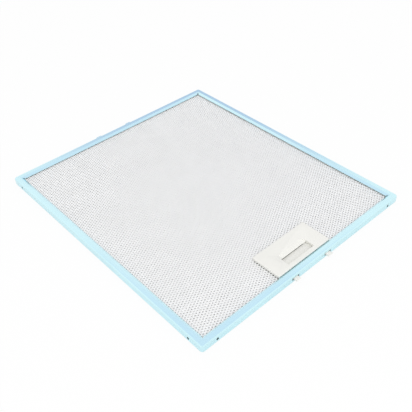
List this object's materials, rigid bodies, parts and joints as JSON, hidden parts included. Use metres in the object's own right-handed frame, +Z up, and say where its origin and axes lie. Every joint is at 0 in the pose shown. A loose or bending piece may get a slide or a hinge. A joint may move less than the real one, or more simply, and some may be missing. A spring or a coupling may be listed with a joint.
{
  "type": "cooker hood grease filter",
  "caption": "flat aluminium cooker hood grease filter with an expanded mesh pack in a folded frame, rear tabs and a spring-loaded plastic latch handle",
  "frame": {"origin": "centre of the outline in plan, on the surface that the filter lies on", "axes": "+X across the filter to the right seen from the latch, +Y from the latch to the rear tabs, +Z up from the lower lips to the handle side"},
  "size_m": [0.2676, 0.3134, 0.009],
  "materials": {
    "frame_sheet": "bright rolled sheet",
    "mesh_sheet": "satin expanded sheet",
    "foil": "crimped foil",
    "handle_plastic": "fine moulded grain",
    "tray_plastic": "plain moulded",
    "spring_wire": "drawn wire"
  },
  "bodies": {
    "filter": {"frame": "frame_sheet", "front_mesh": "mesh_sheet", "back_mesh": "mesh_sheet", "foil_layer_1": "foil", "foil_layer_2": "foil", "foil_layer_3": "foil", "foil_layer_4": "foil", "latch_tray": "tray_plastic", "latch_spring_left": "spring_wire", "latch_spring_right": "spring_wire"},
    "latch": {"latch_handle": "handle_plastic"}
  },
  "joints": [
    {"name": "latch_slide", "type": "slide", "parent": "filter", "child": "latch", "axis": [0, 1, 0], "range_m": [0, 0.0045], "stiffness_N_per_m": 300, "springref_m": -0.008, "deforming": ["latch_spring_left", "latch_spring_right"]}
  ]
}
